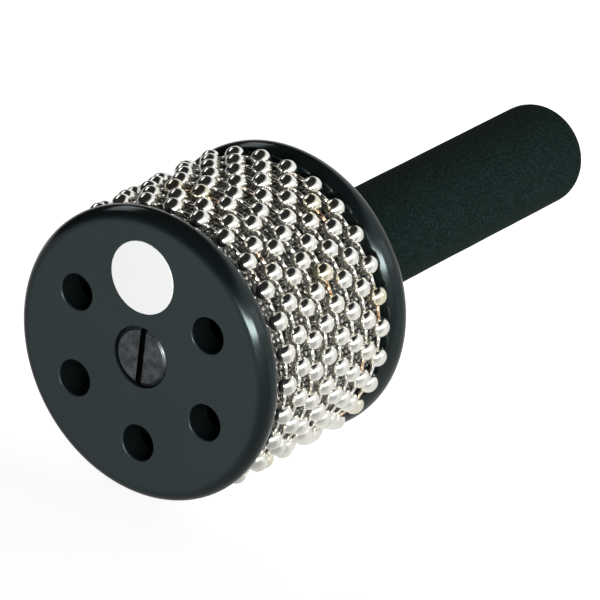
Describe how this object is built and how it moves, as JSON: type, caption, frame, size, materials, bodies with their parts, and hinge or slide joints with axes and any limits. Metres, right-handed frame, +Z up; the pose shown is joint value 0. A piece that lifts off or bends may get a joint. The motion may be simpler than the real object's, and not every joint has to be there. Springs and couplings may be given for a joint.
{
  "type": "cabasa",
  "caption": "Hand percussion instrument: a drum head with an embossed steel sleeve wrapped in loose loops of ball chain, between two round discs, on a foam grip.",
  "frame": {"origin": "centre of the front disc's outer face, on the drum's axis", "axes": "+X along the axis from the front disc to the end of the grip, +Z up as it lies on its side"},
  "size_m": [0.2049, 0.0894, 0.0894],
  "materials": {
    "disc": "satin black",
    "core": "moulded black",
    "sleeve": "embossed stainless",
    "bolt": "blackened steel",
    "insert": "turned",
    "dowel": "plain",
    "foam": "closed-cell foam",
    "beads": "nickel plated",
    "links": "nickel plated"
  },
  "bodies": {
    "frame": {"front_disc": "disc", "rear_disc": "disc", "drum_core": "core", "textured_sleeve": "sleeve", "clamp_bolt": "bolt", "threaded_insert": "insert", "handle_core": "dowel", "foam_grip": "foam"},
    "loop_1": {"loop_1_beads": "beads", "loop_1_links": "links"},
    "loop_2": {"loop_2_beads": "beads", "loop_2_links": "links"},
    "loop_3": {"loop_3_beads": "beads", "loop_3_links": "links"},
    "loop_4": {"loop_4_beads": "beads", "loop_4_links": "links"},
    "loop_5": {"loop_5_beads": "beads", "loop_5_links": "links"},
    "loop_6": {"loop_6_beads": "beads", "loop_6_links": "links"},
    "loop_7": {"loop_7_beads": "beads", "loop_7_links": "links"},
    "loop_8": {"loop_8_beads": "beads", "loop_8_links": "links"}
  },
  "joints": [
    {"name": "loop_1_turn", "type": "hinge", "parent": "frame", "child": "loop_1", "pos_m": [0, 0, 0], "axis": [1, 0, 0], "continuous": true},
    {"name": "loop_2_turn", "type": "hinge", "parent": "frame", "child": "loop_2", "pos_m": [0, 0, 0], "axis": [1, 0, 0], "continuous": true},
    {"name": "loop_3_turn", "type": "hinge", "parent": "frame", "child": "loop_3", "pos_m": [0, 0, 0], "axis": [1, 0, 0], "continuous": true},
    {"name": "loop_4_turn", "type": "hinge", "parent": "frame", "child": "loop_4", "pos_m": [0, 0, 0], "axis": [1, 0, 0], "continuous": true},
    {"name": "loop_5_turn", "type": "hinge", "parent": "frame", "child": "loop_5", "pos_m": [0, 0, 0], "axis": [1, 0, 0], "continuous": true},
    {"name": "loop_6_turn", "type": "hinge", "parent": "frame", "child": "loop_6", "pos_m": [0, 0, 0], "axis": [1, 0, 0], "continuous": true},
    {"name": "loop_7_turn", "type": "hinge", "parent": "frame", "child": "loop_7", "pos_m": [0, 0, 0], "axis": [1, 0, 0], "continuous": true},
    {"name": "loop_8_turn", "type": "hinge", "parent": "frame", "child": "loop_8", "pos_m": [0, 0, 0], "axis": [1, 0, 0], "continuous": true}
  ]
}
